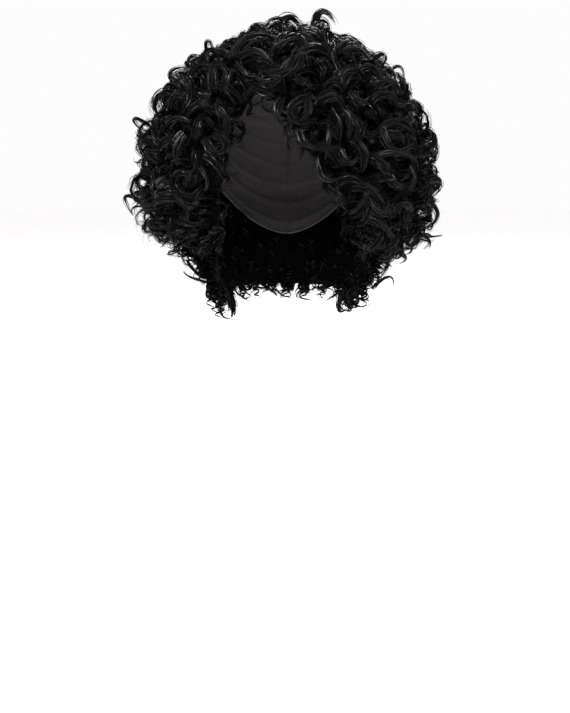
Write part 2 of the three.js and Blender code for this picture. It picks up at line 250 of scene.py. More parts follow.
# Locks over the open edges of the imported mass: their kind, how far apart along and across the edge, the
# azimuths of the upright edges that have them too, and the azimuths where they hang longest
EDGES = table(
    ("kind", "apart", "across", "sides", "longest"),
    fringe_left=("edge", 8, 9, (), ()),
    fringe_right=("edge", 8, 9, (), ()),
    side_curls_left=("edge", 7, 8, (), (110,)),
    side_curls_right=("edge", 7, 8, (), (-112,)),
    nape_curls=("end", 5.5, 6.5, (100, 260), (123, 237)),
)
EDGE_LONGEST = 2
EDGE_FADE = 36
EDGE_LOWEST = 186
EDGE_BACK = (-1, 5)
EDGE_OUT = 0.7
EDGE_SWING = 0.6
EDGE_ROUND = 0.22
EDGE_LEAST = 0.08
EDGE_JITTER = 2
EDGE_SHARE = (0.2, 0.9)
EDGE_RISE = (-1, 4)
EDGE_SAMPLES = 200

# Wavy locks that line the inner side of what hangs below the cap
LINING_APART = 11
LINING_ROW = 18
LINING_SWING = 0.3
LINING_START = 2
LINING_JITTER = 6
LINING_OFF = 1
LINING_RISE = (-1, 2)

# Single hairs that stand off the curls: how many a square centimetre of head, their height and width, where
# they root from a section's top to its bottom, and their swing from straight down
FLYAWAY_DENSITY = 2.6
FLYAWAY_LIFT = (0.85, 1.07)
FLYAWAY_FIBRE = 0.24
FLYAWAY_SPAN = (0.05, 0.95)
FLYAWAY_SWING = 2
SQUARE_CENTIMETRE = 100

# Curls that stand out in the photograph: depth, width, and a bent line's four handles from root to tip,
# each at its place in the photograph's frame
STRAYS = {
    "crown_curls": (
        (-14, 4.5, (313, 40), (311, 5), (328, 5), (336, 25)),
        (-12, 2.2, (318, 38), (317, 16), (321, 11), (328, 10)),
        (-18, 7, (316, 44), (316, 14), (331, 14), (331, 46)),
        (-18, 8, (270, 42), (284, 9), (294, 9), (309, 44)),
        (-20, 8, (250, 42), (254, 25), (265, 24), (270, 42)),
    ),
    "fringe_left": (
        (-16, 6, (333, 50), (342, 33), (359, 36), (369, 54)),
    ),
    "fringe_right": (
        (-24, 2.8, (210, 62), (199, 35), (213, 33), (215, 62)),
        (-24, 2.6, (217, 60), (222, 33), (237, 36), (230, 58)),
        (-22, 1.6, (220, 56), (221, 44), (230, 45), (229, 53)),
    ),
    "side_curls_left": (
        (-10, 4.5, (362, 58), (376, 55), (384, 62), (387, 78)),
        (-8, 2.4, (382, 79), (395, 64), (405, 58), (404, 84)),
        (-8, 2.4, (404, 79), (404, 88), (402, 94), (399, 102)),
        (-6, 3.4, (391, 87), (398, 77), (405, 84), (399, 98)),
        (-4, 4.4, (400, 104), (414, 99), (425, 110), (413, 132)),
        (-2, 3, (418, 130), (424, 124), (428, 121), (428, 130)),
        (-2, 3.2, (418, 143), (430, 132), (445, 133), (428, 156)),
        (-2, 3, (425, 154), (437, 149), (439, 161), (426, 166)),
        (-4, 5, (424, 168), (439, 175), (438, 189), (424, 199)),
        (-4, 1.2, (429, 176), (440, 177), (443, 193), (432, 197)),
        (-8, 6, (413, 198), (436, 197), (452, 221), (418, 232)),
        (-12, 3.5, (413, 207), (432, 206), (439, 219), (417, 229)),
        (-8, 2.2, (408, 231), (422, 237), (432, 238), (444, 235)),
        (-14, 2.2, (410, 233), (424, 233), (435, 238), (428, 250)),
        (-12, 3, (384, 235), (400, 253), (415, 258), (399, 264)),
        (-6, 1.6, (394, 240), (412, 241), (419, 253), (402, 255)),
    ),
    "side_curls_right": (
        (-4, 2.8, (154, 130), (125, 105), (130, 128), (151, 133)),
        (-6, 2, (142, 126), (137, 132), (140, 138), (147, 143)),
        (-6, 3.2, (150, 206), (122, 189), (118, 194), (135, 218)),
        (-10, 1.4, (150, 209), (136, 204), (129, 206), (133, 216)),
        (-4, 2.4, (157, 210), (142, 209), (140, 221), (153, 229)),
        (-8, 2.4, (151, 220), (144, 232), (161, 230), (160, 245)),
        (-12, 5, (190, 86), (164, 86), (163, 64), (190, 68)),
        (-12, 3, (188, 68), (186, 54), (198, 52), (204, 64)),
        (-8, 8, (170, 94), (151, 94), (150, 110), (164, 120)),
        (-4, 5, (152, 135), (136, 138), (136, 150), (152, 157)),
        (-4, 5, (156, 157), (140, 155), (138, 171), (154, 175)),
        (-4, 5, (152, 171), (131, 174), (134, 190), (150, 195)),
    ),
    "nape_curls": (
        (24, 4.5, (379, 242), (391, 256), (391, 267), (377, 281)),
        (28, 4, (369, 266), (379, 272), (381, 281), (375, 289)),
        (28, 2.6, (372, 289), (384, 276), (395, 271), (393, 286)),
        (32, 3.4, (360, 268), (363, 283), (372, 288), (375, 277)),
        (38, 3.6, (345, 288), (360, 296), (364, 309), (346, 300)),
        (38, 3.6, (342, 293), (358, 302), (364, 313), (343, 304)),
        (38, 3.4, (340, 297), (352, 306), (356, 316), (339, 308)),
        (38, 3.4, (343, 292), (334, 308), (340, 318), (346, 308)),
        (30, 2.4, (203, 278), (175, 255), (194, 255), (205, 273)),
        (32, 2.2, (208, 282), (196, 280), (186, 277), (182, 270)),
        (24, 1.8, (192, 244), (180, 247), (177, 258), (190, 254)),
        (34, 1.8, (210, 284), (201, 300), (210, 301), (218, 295)),
        (34, 2.2, (223, 298), (215, 314), (226, 323), (234, 316)),
        (36, 4.5, (224, 288), (230, 300), (235, 310), (232, 318)),
        (30, 5, (226, 292), (232, 301), (234, 310), (231, 318)),
        (28, 5, (229, 290), (234, 300), (237, 309), (234, 317)),
        (26, 5, (222, 286), (226, 296), (231, 303), (228, 312)),
        (30, 5, (341, 292), (337, 301), (339, 309), (346, 311)),
        (28, 5, (347, 290), (340, 299), (336, 306), (340, 313)),
    ),
}
STRAY_SEGMENTS = 16
STRAY_SPREAD = 7
STRAY_SWAY = 13
STRAY_FLAT = 0.7
STRAY_THICK = 1.6
STRAY_BROAD = 3

# Curls that lie on the hair's front: width and handles, as above
FRONT_CURLS = {
    "crown_curls": (
        (8, (235, 58), (238, 38), (258, 28), (273, 38)),
        (7, (283, 47), (290, 34), (304, 36), (306, 52)),
    ),
    "fringe_left": (
        (9, (303, 48), (296, 66), (280, 82), (256, 69)),
        (6, (299, 56), (308, 42), (332, 42), (339, 72)),
        (7, (240, 58), (252, 50), (266, 54), (277, 70)),
        (4, (261, 93), (261, 80), (272, 78), (276, 88)),
        (6, (250, 82), (258, 92), (268, 94), (277, 86)),
        (5, (254, 76), (262, 86), (272, 84), (280, 78)),
        (4, (246, 97), (251, 89), (262, 89), (269, 97)),
        (8, (307, 99), (294, 102), (284, 116), (302, 124)),
        (5, (306, 98), (311, 110), (306, 120), (297, 124)),
        (5, (282, 100), (273, 112), (280, 124), (288, 120)),
        (1.8, (279, 117), (281, 126), (288, 126), (289, 120)),
        (5, (288, 120), (284, 134), (294, 140), (303, 134)),
        (4.5, (298, 130), (302, 144), (312, 152), (320, 148)),
        (3, (330, 126), (327, 138), (329, 150), (324, 160)),
        (3, (316, 156), (316, 174), (326, 186), (338, 178)),
        (4, (340, 150), (346, 166), (354, 166), (358, 156)),
        (5, (338, 182), (348, 174), (362, 178), (372, 190)),
        (4, (344, 110), (352, 116), (352, 130), (346, 138)),
        (6, (338, 76), (346, 66), (360, 66), (364, 80)),
        (6, (342, 54), (350, 46), (364, 47), (369, 62)),
        (5, (324, 90), (328, 78), (342, 78), (344, 92)),
        (6, (319, 103), (326, 92), (340, 94), (344, 108)),
        (3.5, (296, 74), (298, 84), (306, 84), (308, 76)),
        (5, (344, 112), (356, 116), (364, 128), (357, 141)),
        (5, (352, 138), (364, 146), (368, 160), (360, 172)),
        (4, (330, 112), (338, 118), (344, 130), (338, 142)),
    ),
    "fringe_right": (
        (6, (238, 64), (242, 76), (250, 80), (258, 76)),
        (6, (212, 90), (206, 62), (226, 54), (229, 84)),
        (3, (220, 100), (214, 108), (218, 116), (226, 122)),
        (5, (212, 108), (226, 110), (234, 128), (223, 141)),
        (5, (214, 134), (230, 140), (228, 156), (212, 152)),
        (6, (204, 140), (208, 148), (214, 152), (218, 158)),
        (1.2, (203, 158), (212, 162), (218, 170), (224, 180)),
        (1.2, (206, 152), (214, 158), (221, 164), (226, 173)),
        (1.8, (200, 168), (208, 176), (210, 186), (203, 193)),
    ),
    "side_curls_left": (
        (5, (383, 126), (380, 150), (404, 160), (414, 142)),
        (5, (382, 128), (390, 116), (410, 118), (416, 136)),
        (4, (361, 124), (362, 138), (376, 138), (381, 124)),
        (7, (370, 158), (378, 160), (388, 168), (388, 178)),
        (5, (372, 160), (388, 148), (406, 150), (418, 162)),
        (4, (410, 166), (418, 174), (416, 186), (408, 190)),
        (5, (390, 176), (392, 188), (402, 190), (408, 182)),
        (6, (352, 186), (364, 186), (376, 192), (384, 204)),
        (5, (368, 200), (374, 214), (386, 218), (394, 210)),
        (6, (362, 216), (374, 218), (386, 224), (392, 238)),
        (4, (396, 212), (400, 200), (412, 202), (412, 216)),
        (5, (352, 92), (356, 104), (366, 106), (370, 96)),
        (5, (372, 100), (380, 92), (394, 92), (400, 104)),
        (4, (376, 88), (384, 76), (398, 80), (402, 98)),
        (5, (358, 72), (366, 62), (380, 66), (382, 84)),
    ),
    "side_curls_right": (
        (5, (192, 76), (196, 62), (210, 60), (214, 74)),
        (5, (190, 82), (192, 96), (186, 108), (182, 118)),
        (4, (168, 126), (174, 116), (184, 116), (190, 124)),
        (5, (184, 134), (174, 142), (174, 156), (180, 166)),
        (4, (172, 180), (176, 170), (188, 170), (190, 182)),
        (4, (174, 194), (180, 204), (188, 208), (198, 205)),
        (5, (160, 146), (166, 136), (176, 138), (178, 150)),
        (5, (158, 186), (164, 176), (172, 180), (172, 194)),
    ),
}

# Where the front is sampled, how near a sample is in pixels, and how far handles lie behind the front
FRONT_AZIMUTHS = (-108.0, 109.0)
FRONT_POLARS = (4.0, 126.0)
FRONT_REACH = 6
FRONT_MORE = 1
FRONT_SHARE = 0.97
FRONT_BULGE = (4, -4, -4, 3)

# A lock's strands: fine strips over a core, in a few clumps that part towards the tip
SEGMENTS_PER_TURN = 9
LEAST_POINTS = 4
CORE_FILL = 0.82
CORE_TAPER = 0.3
# The core's tint, as a share of its lock's: painted shade inside the lock
CORE_SHADE_TINT = 0.3
STRAND_WIDTH = 0.5
STRAND_TIP = 0.35
STRAND_FRAY = 0.14
STRAND_WAVE = 0.26
STRAND_WAVES = (4, 12)
STRAND_TILT = 0.9
STRAND_LEAN = 0.5
STRAND_JITTER = 0.4
STRAND_SWELL = (0.75, 1.4)
STRAND_LENGTH = (0.82, 1)
STRAND_BREADTH = (0.7, 1.3)
STRAND_TINT = 0.6
LOCK_TINT = 0.5
PATTERN_REACH = 500
CLUMPS = 3
CLUMP_FRAY = 0.34

# Which of a piece's materials is painted shade: a darker, duller copy of the hair for the depth behind the
# strands
PAINTED_SHADE_FINISH = 1

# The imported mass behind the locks
BODY_STEP = 4
BODY_SHARE = 0.94
BODY_LUMP = 1.2
BODY_WAVES = ((0.31, 0.2), (-0.13, 0.37))
BODY_TOP = 0.5

# Corners of a face in the other order
FLIPPED = [0, 3, 2, 1]


def unit(vectors):
    """Vectors scaled to length 1."""
    return vectors / np.maximum(np.linalg.norm(vectors, axis=-1, keepdims=True), 1e-9)


def perpendicular(vectors, along):
    """What is left of vectors across a direction, at length 1."""
    return unit(vectors - along * np.sum(vectors * along, axis=-1, keepdims=True))


def smooth_column(columns, name, at):
    """Smooth value of a column at values of the first one: a cubic through their rows."""
    keys = np.array(next(iter(columns.values())), float)
    values = np.array(columns[name], float)
    last = len(keys) - 1
    row = np.arange(len(keys))
    before, after = np.maximum(row - 1, 0), np.minimum(row + 1, last)
    slope = (values[after] - values[before]) / (keys[after] - keys[before])
    x = np.clip(at, keys[0], keys[-1])
    i = np.clip(np.searchsorted(keys, x) - 1, 0, last - 1)
    span = keys[i + 1] - keys[i]
    t = (x - keys[i]) / span
    rise = values[i + 1] - values[i]
    bend = slope[i] * span - rise
    bend_after = rise - slope[i + 1] * span
    return values[i] + rise * t + t * (1 - t) * (bend * (1 - t) + bend_after * t)


def wrap(azimuth):
    """Azimuth brought to the range from -180 to 180."""
    return (azimuth + 180) % 360 - 180


def head_point(azimuth, polar):
    """Points of the head's surface."""
    azimuth, polar = np.broadcast_arrays(np.asarray(azimuth, float), np.asarray(polar, float))
    a = np.radians(azimuth)
    p = np.radians(np.clip(polar, 0, 90))
    drop = np.maximum(polar - 90, 0) * DROP_PER_DEGREE
    spread = np.sin(p) ** DOME_POWER
    side, front, back = (smooth_column(HEAD_SECTIONS, name, drop) for name in ("side", "front", "back"))
    reach = np.where(np.cos(a) > 0, front, back) * spread
    z = np.where(polar < 90, HEAD_HEIGHT * np.maximum(np.cos(p), 0) ** DOME_POWER, -drop)
    return np.stack([side * spread * np.sin(a), -reach * np.cos(a), z], axis=-1)


def head_normal(azimuth, polar):
    """The head's outward direction there."""
    step = 2
    p = np.maximum(polar, step)
    across = head_point(azimuth + step, p) - head_point(azimuth - step, p)
    down = head_point(azimuth, p + step) - head_point(azimuth, p - step)
    return unit(np.cross(down, across))


def off_head(azimuth, polar, distance):
    """Points a distance off the head."""
    return head_point(azimuth, polar) + head_normal(azimuth, polar) * np.asarray(distance)[..., None]


def hair_depth(azimuth, polar):
    """How far the curls stand off the cap there."""
    a = np.radians(azimuth)
    sideways = np.sin(a) ** 2
    columns = ("front", "left", "right", "back")
    front, left, right, back = (smooth_column(HAIR_DEPTH, name, polar) for name in columns)
    side = np.where(np.sin(a) > 0, left, right)
    end = np.where(np.cos(a) > 0, front, back)
    return side * sideways + end * (1 - sideways)


def cap_edge(azimuth):
    """Polar angle of the cap's edge."""
    return smooth_column(CAP_EDGE, "polar", np.abs(wrap(azimuth)))


def bottom_of(section, azimuth):
    """Polar angle where a section's packed mass ends."""
    if section["bottom"] is None:
        return smooth_column(HAIR_EDGE, "polar", azimuth)
    return np.full_like(np.asarray(azimuth, float), section["bottom"])


def inner_distance(azimuth, polar):
    """How far off the head the hair's inner side hangs."""
    below = np.clip((polar - cap_edge(azimuth)) / HANG_FULL, 0, 1)
    return CAP_WALL / 2 + HANG_ROOM * below * below * (3 - 2 * below)


def body_distance(section, azimuth, polar):
    """How far off the head a section's packed mass reaches."""
    share = (polar - section["top"]) / (bottom_of(section, azimuth) - section["top"])
    full = hair_depth(azimuth, polar) * section["body"] * (1 - section["taper"] * share**4)
    return np.maximum(CAP_WALL + full, inner_distance(azimuth, polar) + BODY_LEAST)


class Pile:
    """Strips, tubes and shells that make one mesh, with each point's place on its hair and its tint."""

    def __init__(self):
        self.points, self.corners, self.sizes, self.coords, self.tints = [], [], [], [], []
        self.finishes = []
        self.count = 0

    def add(self, points, faces, coords, tints, finish=0):
        """Adds points, arrays of faces, the points' places on the hair, one tint or all, and a finish."""
        points = points.reshape(-1, 3)
        for face in faces:
            self.corners.append((face + self.count).ravel())
            self.sizes.append(np.full(len(face), face.shape[1]))
            self.finishes.append(np.full(len(face), finish))
        self.points.append(points)
        self.coords.append(coords.reshape(-1, 3))
        self.tints.append(np.broadcast_to(tints, len(points)))
        self.count += len(points)

    def make(self, name, materials):
        """The mesh object, with a material for each finish."""
        points = np.concatenate(self.points) * MM
        corners = np.concatenate(self.corners).astype(np.int32)
        sizes = np.concatenate(self.sizes)
        starts = np.concatenate([[0], np.cumsum(sizes)[:-1]]).astype(np.int32)
        mesh = bpy.data.meshes.new(name)
        mesh.vertices.add(len(points))
        mesh.vertices.foreach_set("co", points.ravel().astype(np.float32))
        mesh.loops.add(len(corners))
        mesh.loops.foreach_set("vertex_index", corners)
        mesh.polygons.add(len(starts))
        mesh.polygons.foreach_set("loop_start", starts)
        mesh.update(calc_edges=True)
        mesh.polygons.foreach_set("use_smooth", np.ones(len(starts), bool))
        coords = mesh.attributes.new("strand", "FLOAT_VECTOR", "POINT")
        coords.data.foreach_set("vector", np.concatenate(self.coords).ravel().astype(np.float32))
        tints = mesh.attributes.new("tint", "FLOAT", "POINT")
        tints.data.foreach_set("value", np.concatenate(self.tints).astype(np.float32))
        for material in materials:
            mesh.materials.append(material)
        mesh.polygons.foreach_set("material_index", np.concatenate(self.finishes).astype(np.int32))
        piece = bpy.data.objects.new(name, mesh)
        bpy.context.scene.collection.objects.link(piece)
        return piece


def grid_faces(grid):
    """Faces between the rows and columns of a grid of point numbers."""
    corners = grid[:-1, :-1], grid[1:, :-1], grid[1:, 1:], grid[:-1, 1:]
    return np.stack(corners, axis=-1).reshape(-1, 4)


def ring_grid(rings, sides):
    """Numbers of points that run ring by ring, with each ring's first one again at its end."""
    grid = np.arange(rings * sides).reshape(rings, sides)
    return np.concatenate([grid, grid[:, :1]], axis=1)


def tube_faces(rings, sides):
    """Side faces and end caps of a tube whose points run ring by ring."""
    grid = ring_grid(rings, sides)
    return [grid_faces(grid)[:, FLIPPED], grid[:1, -2::-1], grid[-1:, :-1]]


def sweep_at(azimuth, polar):
    """How far a lock's tip is swept round the head from its root, away from the parting."""
    from_parting = wrap(azimuth - PARTING_AZIMUTH)
    nearness = max(1 - abs(from_parting) / SWEEP_FADE, 0)
    return np.sign(from_parting) * FRINGE_SWEEP * nearness * min(polar / SWEEP_FULL_POLAR, 1)


def lock_axis(lock, t):
    """The line that a lock winds round, with its azimuth and polar angle."""
    bend = np.maximum(t, 0) ** LOCK_BEND
    rise = np.sin(np.pi / 2 * np.clip(t / LOCK_RISE, -1, 1))
    azimuth = lock["azimuth"] + lock["sweep"] * bend
    polar = lock["polar"] + lock["droop"] * bend
    return off_head(azimuth, polar, lock["root"] + (lock["tip"] - lock["root"]) * rise), azimuth, polar


def lock_curve(lock, t):
    """Middle of a lock along its curl, with the directions across its thickness and its width."""
    axis, azimuth, polar = lock_axis(lock, t)
    along = unit(lock_axis(lock, t + LOCK_STEP)[0] - lock_axis(lock, t - LOCK_STEP)[0])
    level = head_point(azimuth + 1, polar + 1) - head_point(azimuth - 1, polar + 1)
    across = perpendicular(level, along)
    third = np.cross(along, across)
    turn = (lock["phase"] + lock["hand"] * 2 * np.pi * lock["turns"] * t)[:, None]
    outward = across * np.cos(turn) + third * np.sin(turn)
    spread = lock["radius"] * np.minimum(LOCK_ROOT_SPREAD + t / LOCK_OPEN, 1)
    centre = axis + outward * spread[:, None]
    run = unit(np.gradient(centre, axis=0))
    thin = perpendicular(outward, run)
    return centre, thin, np.cross(thin, run)


def add_core(pile, line, sides, place, shade):
    """The middle of a lock, which closes the gaps between its strands, darkened as painted shade."""
    centre, thin, flat, half_width, half_thick, arc = line
    rings = len(arc)
    angle = np.arange(sides) * 2 * np.pi / sides
    fill = CORE_FILL * np.linspace(1, 0, rings)[:, None] ** CORE_TAPER
    wide = np.cos(angle) * half_width[:, None] * fill
    deep = np.sin(angle) * half_thick[:, None] * fill
    points = centre[:, None] + flat[:, None] * wide[..., None] + thin[:, None] * deep[..., None]
    along = np.broadcast_to(arc[:, None], wide.shape)
    coords = np.stack([wide + place[0], deep + place[1], along], axis=-1)
    pile.add(points, tube_faces(rings, sides), coords, CORE_SHADE_TINT * shade, PAINTED_SHADE_FINISH)


def add_strands(pile, kind, centre, thin, flat, half_width, half_thick, rng):
    """A lock along a line: a core with strands lying over it, which part a little towards the tip."""
    strands, sides = KINDS[kind]["strands"], KINDS[kind]["core"]
    if kind == "stray":
        strands = round(strands * (1 + half_width[0] / STRAY_BROAD))
    segments = len(centre) - 1
    t = np.linspace(0, 1, segments + 1)
    arc = np.concatenate([[0], np.cumsum(np.linalg.norm(np.diff(centre, axis=0), axis=1))])
    place = rng.uniform(0, PATTERN_REACH, 2)
    shade = rng.uniform(0, 1)
    if sides:
        add_core(pile, (centre, thin, flat, half_width, half_thick, arc), sides, place, shade)

    jitter = rng.uniform(-STRAND_JITTER, STRAND_JITTER, strands)
    around = (np.arange(strands) + jitter) * 2 * np.pi / strands
    broad = half_width.max()
    clump = rng.normal(0, CLUMP_FRAY * broad, (2, CLUMPS))[:, np.arange(strands) * CLUMPS // strands]
    fray = clump + rng.normal(0, STRAND_FRAY * broad, (2, strands))
    swell = rng.uniform(*STRAND_SWELL, strands)
    own = t[None] * rng.uniform(*STRAND_LENGTH, strands)[:, None]
    low = np.minimum((own * segments).astype(int), segments - 1)
    mix = (own * segments - low)[..., None]

    def along_lock(values):
        return values[low] * (1 - mix) + values[low + 1] * mix

    width_at = along_lock(half_width[:, None])[..., 0]
    thick_at = along_lock(half_thick[:, None])[..., 0]
    start = 2 * np.pi * rng.uniform(size=(strands, 1))
    wave = STRAND_WAVE * broad * np.sin(own * rng.uniform(*STRAND_WAVES, strands)[:, None] + start)
    wide = (np.cos(around) * swell)[:, None] * width_at + fray[0][:, None] * own**2 + wave
    deep = (np.sin(around) * swell)[:, None] * thick_at + fray[1][:, None] * own**2 - wave / 2
    thin_at, flat_at = along_lock(thin), along_lock(flat)
    middle = along_lock(centre) + flat_at * wide[..., None] + thin_at * deep[..., None]
    own_tilt = rng.uniform(-STRAND_TILT, STRAND_TILT, strands)
    tilt = (np.sin(2 * around) * STRAND_LEAN + own_tilt)[:, None, None]
    breadth = FLYAWAY_FIBRE if kind == "flyaway" else STRAND_WIDTH
    taper = 1 - (1 - STRAND_TIP) * t[None] ** 3
    own_breadth = breadth / 2 * rng.uniform(*STRAND_BREADTH, strands)[:, None] * taper
    side = (flat_at * np.cos(tilt) + thin_at * np.sin(tilt)) * own_breadth[..., None]
    points = np.stack([middle - side, middle + side], axis=2)
    coords = np.stack([wide + place[0], deep + place[1], along_lock(arc[:, None])[..., 0]], axis=-1)
    coords = np.repeat(coords[:, :, None], 2, axis=2)
    tints = np.clip(LOCK_TINT * shade + rng.uniform(0, STRAND_TINT, strands), 0, 1)
    first = np.arange(strands)[:, None] * 2 * (segments + 1) + np.arange(segments)[None] * 2
    strips = np.stack([first, first + 1, first + 3, first + 2], axis=-1).reshape(-1, 4)
    pile.add(points, [strips], coords, np.repeat(tints, 2 * (segments + 1)))


def add_lock(pile, lock, kind, rng):
    """A lock wound round its axis."""
    t = np.linspace(0, 1, math.ceil(lock["turns"] * SEGMENTS_PER_TURN) + LEAST_POINTS)
    centre, thin, flat = lock_curve(lock, t)
    size = lock["radius"] * (1 - (1 - LOCK_TIP_SHARE) * t**2) / 2
    half_width, half_thick = size * KINDS[kind]["width"], size * KINDS[kind]["thickness"]
    add_strands(pile, kind, centre, thin, flat, half_width, half_thick, rng)


def view_axes():
    """Directions to the right, ahead and up in the photograph's view."""
    pitch = math.radians(CAMERA_PITCH)
    ahead = np.array([0, math.cos(pitch), -math.sin(pitch)])
    return np.array([1, 0, 0]), ahead, np.array([0, math.sin(pitch), math.cos(pitch)])


def seen_at(across, down, depth):
    """The point at a depth (its y) that the photograph shows at a place of its frame."""
    right, ahead, up = view_axes()
    ray = right * (across - PHOTO_WIDTH / 2) - up * (down - PHOTO_HEIGHT / 2) + ahead * FOCAL_PIXELS
    eye = np.array(CAMERA_PLACE)
    return eye + ray * (depth - eye[1]) / ray[1]


def front_samples():
    """Places in the photograph's frame of points on the hair's outer side, and the points' depths."""
    azimuth, polar = np.meshgrid(np.arange(*FRONT_AZIMUTHS), np.arange(*FRONT_POLARS))
    kept = polar < smooth_column(HAIR_EDGE, "polar", azimuth)
    azimuth, polar = azimuth[kept], polar[kept]
    trim = smooth_column(HAIR_TRIM, "share", polar)
    points = off_head(azimuth, polar, CAP_WALL + hair_depth(azimuth, polar) * trim * FRONT_SHARE)
    right, ahead, up = view_axes()
    away = points - np.array(CAMERA_PLACE)
    depth = away @ ahead
    across = PHOTO_WIDTH / 2 + FOCAL_PIXELS * (away @ right) / depth
    down = PHOTO_HEIGHT / 2 - FOCAL_PIXELS * (away @ up) / depth
    return np.stack([across, down], axis=-1), points[:, 1]


def front_depths(samples, places):
    """Depths of a bent line's handles, so that it lies on the hair's front."""
    seen, depths = samples
    for place, bulge in zip(places, FRONT_BULGE):
        off = np.linalg.norm(seen - np.array(place), axis=1)
        near = off < max(FRONT_REACH, off.min() + FRONT_MORE)
        yield float(depths[near].min()) + bulge


def stray_depths(depth, rng):
    """Depths of a bent line's handles, swayed by chance."""
    sway = rng.uniform(-STRAY_SWAY, STRAY_SWAY, 3)
    return depth + rng.uniform(-STRAY_SPREAD, STRAY_SPREAD) + np.concatenate([[0], sway])


def add_bent(pile, width, places, depths, rng):
    """A curl along a bent line, whose handles have places in the photograph's frame and depths."""
    root, leaving, coming, tip = (seen_at(*place, depth) for place, depth in zip(places, depths))
    t = np.linspace(0, 1, STRAY_SEGMENTS + 1)[:, None]
    first_half = root * (1 - t) ** 3 + leaving * 3 * t * (1 - t) ** 2
    centre = first_half + coming * 3 * t**2 * (1 - t) + tip * t**3
    run = unit(np.gradient(centre, axis=0))
    thin = perpendicular(np.broadcast_to([0.0, 1.0, 0.0], run.shape), run)
    flat = np.cross(thin, run)
    taper = 1 - (1 - LOCK_TIP_SHARE) * t[:, 0] ** 2
    thick = min(width / 2 * STRAY_FLAT, STRAY_THICK)
    add_strands(pile, "stray", centre, thin, flat, width / 2 * taper, thick * taper, rng)


def topped(section, lock):
    """A lock with its root's and tip's heights, so that its curl reaches its share of the hair's depth."""
    azimuth, polar = lock["azimuth"] + lock["sweep"], lock["polar"] + lock["droop"]
    body = float(body_distance(section, lock["azimuth"], lock["polar"]))
    share = lock["lift"] * float(smooth_column(HAIR_TRIM, "share", polar))
    top = CAP_WALL + float(hair_depth(azimuth, polar)) * share - lock["radius"] * CURL_INSET
    lock["root"] = body - LOCK_SINK
    lock["tip"] = max(top, float(body_distance(section, lock["azimuth"], polar)) - LOCK_SINK / 2)
    return lock


def main_locks(name):
    """The locks that the solids have."""
    section = SECTIONS[name]
    for row, (start, stop, polar, count, droop, radius, turns) in enumerate(LOCK_ROWS[name]):
        for i in range(count):
            azimuth = start + (stop - start) * (i + 0.5) / count
            yield topped(section, {
                "azimuth": azimuth, "polar": polar, "droop": droop, "lift": MAIN_LIFT, "radius": radius,
                "turns": turns, "sweep": sweep_at(azimuth, polar),
                "phase": GOLDEN_TURN * (i + row * ROW_PHASE), "hand": 1 if (i + row) % 2 else -1,
            })


def degrees_for(azimuth, polar, distance, across, down):
    """Steps in millimetres round the head and down it, as degrees of azimuth and of polar angle."""
    places = azimuth + np.array([0, 1, 0]), polar + np.array([0, 0, 1])
    here, beside, below = off_head(*places, np.full(3, distance))
    wide = max(float(np.linalg.norm(beside - here)), LEAST_SPREAD)
    return across / wide, down / float(np.linalg.norm(below - here))


def wound(rng, kind, azimuth, polar, distance, direction, size=1):
    """How a lock left to chance is wound, and how far its axis runs in a direction from straight down."""
    shape = KINDS[kind]
    turns = rng.uniform(*shape["turns"])
    length = turns * rng.uniform(*shape["pitch"]) * size
    steps = length * math.sin(direction), length * math.cos(direction)
    sweep, droop = degrees_for(azimuth, polar, distance, *steps)
    return {
        "azimuth": azimuth, "polar": polar, "sweep": sweep, "droop": droop, "turns": turns,
        "radius": rng.uniform(*shape["radius"]) * size,
        "phase": rng.uniform(0, 2 * np.pi), "hand": rng.choice((-1, 1)),
    }


def fall_direction(azimuth, polar):
    """The way that hair falls there, from straight down: away from the parting."""
    return math.atan2(float(sweep_at(azimuth, polar)), FRINGE_SWEEP)


def fill_locks(name, rng):
    """Smaller locks and their kinds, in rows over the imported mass, with chance in places and curls."""
    section, fill = SECTIONS[name], FILL[name]
    start, stop, top = section["from"], section["to"], section["top"]
    lowest = float(np.max(bottom_of(section, np.linspace(start, stop, BOTTOM_SAMPLES))))
    around = np.linspace(start, stop, ROW_SAMPLES)
    polar = top
    while polar < lowest:
        body = body_distance(section, around, np.full_like(around, polar))
        step = degrees_for(0, polar, float(np.mean(body)), 0, fill["apart"] * FILL_ROW)[1]
        line = off_head(around, polar, body)
        length = np.linalg.norm(np.diff(line, axis=0), axis=1).sum()
        count = max(round(length / fill["apart"]), 1)
        for i in range(count):
            azimuth = start + (stop - start) * (i + 0.5 + rng.uniform(-0.5, 0.5) * FILL_JITTER) / count
            own = max(polar + step * (0.5 + rng.uniform(-0.5, 0.5) * FILL_JITTER), FILL_TOP)
            kind = "ribbon" if rng.uniform() < fill["ribbons"] else "ringlet"
            lift = rng.uniform(*fill["lift"])
            direction = fall_direction(azimuth, own) + rng.uniform(-1, 1) * FILL_SWING
            if own < float(bottom_of(section, azimuth)):
                distance = float(hair_depth(azimuth, own)) * lift
                curl = wound(rng, kind, azimuth, own, distance, direction, fill["size"])
                yield kind, topped(section, {"lift": lift, **curl})
        polar += step


def flyaway_locks(name, rng):
    """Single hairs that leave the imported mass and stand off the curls."""
    section = SECTIONS[name]
    start, stop, top = section["from"], section["to"], section["top"]
    drop = float(np.mean(bottom_of(section, np.linspace(start, stop, BOTTOM_SAMPLES)))) - top
    area = math.radians(stop - start) * math.radians(drop) * HEAD_HEIGHT**2 / SQUARE_CENTIMETRE
    for _ in range(round(area * FLYAWAY_DENSITY)):
        azimuth = rng.uniform(start, stop)
        polar = top + (float(bottom_of(section, azimuth)) - top) * rng.uniform(*FLYAWAY_SPAN)
        lift = rng.uniform(*FLYAWAY_LIFT)
        distance = float(hair_depth(azimuth, polar)) * lift
        direction = rng.uniform(-FLYAWAY_SWING, FLYAWAY_SWING)
        curl = wound(rng, "flyaway", azimuth, polar, distance, direction)
        yield topped(section, {"lift": lift, **curl})


